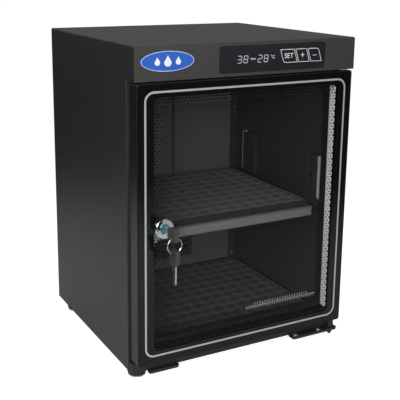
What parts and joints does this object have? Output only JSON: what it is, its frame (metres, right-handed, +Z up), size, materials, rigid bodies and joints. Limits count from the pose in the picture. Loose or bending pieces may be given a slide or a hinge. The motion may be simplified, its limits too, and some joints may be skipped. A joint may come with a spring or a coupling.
{
  "type": "camera dry cabinet",
  "caption": "Table-top camera dry cabinet with a framed glass door, cam lock with keys, pull-out foam-lined shelf, digital display and silent rear dryer.",
  "frame": {"origin": "on the floor, under the middle of the whole object's box", "axes": "+X to the viewer's right when facing the door, +Y to the rear, +Z up; the door faces -Y"},
  "size_m": [0.35, 0.3808, 0.468],
  "materials": {
    "case_paint": "satin black powder coat",
    "inner_paint": "matt black powder coat",
    "shelf_paint": "fine textured black powder coat",
    "bar_grey": "satin grey extrusion",
    "fascia_plastic": "satin moulded black",
    "display_film": "high gloss black",
    "button_film": "gloss black with a white outline",
    "badge_enamel": "gloss blue with a pale rim",
    "circuit_board": "green solder mask",
    "display_body": "dark tinted segments block",
    "zinc_screw": "bright zinc plate",
    "sensor_white": "white moulded cap",
    "fin_aluminium": "extruded, as sawn",
    "ceramic": "fired alumina faces",
    "insulation": "closed cell foam",
    "vent_plastic": "spark-eroded moulded black",
    "foam": "open cell egg-crate foam",
    "door_glass": "toughened glass with a printed black border",
    "door_plastic": "satin black extrusion",
    "seal_rubber": "soft magnetic seal",
    "bond_tape": "acrylic foam tape",
    "bushing_acetal": "natural acetal",
    "hinge_zinc": "zinc plated plate",
    "pin_black": "black oxide",
    "lock_chrome": "polished chrome",
    "lock_plug": "polished, bluish tint",
    "key_nickel": "nickel plate",
    "ring_steel": "bright spring steel",
    "key_plastic": "moulded black",
    "foot_plastic": "moulded black",
    "glide_white": "white glide"
  },
  "bodies": {
    "cabinet": {"case_shell": "case_paint", "base_pan": "inner_paint", "back_panel": "case_paint", "front_frame": "inner_paint", "cabin_ceiling": "inner_paint", "fascia": "fascia_plastic", "display_panel": "display_film", "badge_plate": "badge_enamel", "control_board": "circuit_board", "digit_display": "display_body", "tact_switches": "display_body", "board_screws": "zinc_screw", "humidity_sensor": "sensor_white", "dryer_housing": "sensor_white", "cold_fins": "fin_aluminium", "thermoelectric_module": "ceramic", "insulation_collar": "insulation", "hot_heatsink": "fin_aluminium", "drip_tray": "sensor_white", "rear_vent_cover": "vent_plastic", "power_inlet": "vent_plastic", "wire_duct": "inner_paint", "left_uprights": "shelf_paint", "right_uprights": "shelf_paint", "left_runner": "shelf_paint", "right_runner": "shelf_paint", "floor_foam": "foam", "upper_hinge_bracket": "hinge_zinc", "upper_hinge_pin": "hinge_zinc", "upper_hinge_screws": "zinc_screw", "lower_hinge_plate": "inner_paint", "lower_hinge_pin": "pin_black", "lower_hinge_screws": "zinc_screw", "left_foot_plate": "inner_paint", "feet": "foot_plastic", "foot_glides": "glide_white", "foot_screws": "zinc_screw", "back_panel_screws": "zinc_screw"},
    "door": {"door_glass": "door_glass", "door_frame": "door_plastic", "door_seal": "seal_rubber", "glass_tape": "bond_tape", "door_bushings": "bushing_acetal", "lock_barrel": "lock_chrome", "lock_washer": "seal_rubber", "lock_nut": "hinge_zinc"},
    "lock_core": {"lock_plug": "lock_plug", "lock_cam": "hinge_zinc", "cam_screw": "zinc_screw"},
    "key": {"key_blade": "key_nickel", "key_head": "key_plastic"},
    "ring": {"key_ring": "ring_steel"},
    "spare_key": {"spare_key_blade": "key_nickel", "spare_key_head": "key_plastic"},
    "shelf": {"shelf_tray": "shelf_paint", "shelf_front_bar": "bar_grey", "shelf_foam": "foam"},
    "set_key": {"key_set": "button_film"},
    "plus_key": {"key_plus": "button_film"},
    "minus_key": {"key_minus": "button_film"}
  },
  "joints": [
    {"name": "door_swing", "type": "hinge", "parent": "cabinet", "child": "door", "pos_m": [0.165, -0.13662, 0.224], "axis": [0, 0, 1], "range_deg": [0, 120]},
    {"name": "shelf_slide", "type": "slide", "parent": "cabinet", "child": "shelf", "axis": [0, -1, 0], "range_m": [0, 0.076]},
    {"name": "lock_turn", "type": "hinge", "parent": "door", "child": "lock_core", "pos_m": [-0.1329, -0.14963, 0.2234], "axis": [0, 1, 0], "range_deg": [0, 90]},
    {"name": "key_pull", "type": "slide", "parent": "lock_core", "child": "key", "axis": [0, -1, 0], "range_m": [0, 0.018]},
    {"name": "ring_swing", "type": "hinge", "parent": "key", "child": "ring", "pos_m": [-0.1329, -0.18063, 0.21939], "axis": [1, 0, 0], "range_deg": [-60, 15]},
    {"name": "spare_key_swing", "type": "hinge", "parent": "ring", "child": "spare_key", "pos_m": [-0.1329, -0.18063, 0.19839], "axis": [1, 0, 0], "range_deg": [-45, 25]},
    {"name": "set_press", "type": "slide", "parent": "cabinet", "child": "set_key", "axis": [0, 1, 0], "range_m": [0, 0.0004], "stiffness_N_per_m": 300},
    {"name": "plus_press", "type": "slide", "parent": "cabinet", "child": "plus_key", "axis": [0, 1, 0], "range_m": [0, 0.0004], "stiffness_N_per_m": 300},
    {"name": "minus_press", "type": "slide", "parent": "cabinet", "child": "minus_key", "axis": [0, 1, 0], "range_m": [0, 0.0004], "stiffness_N_per_m": 300}
  ],
  "couplings": [
    {"joint": "shelf_slide", "follows": "door_swing", "m_per_rad": 0.036}
  ]
}
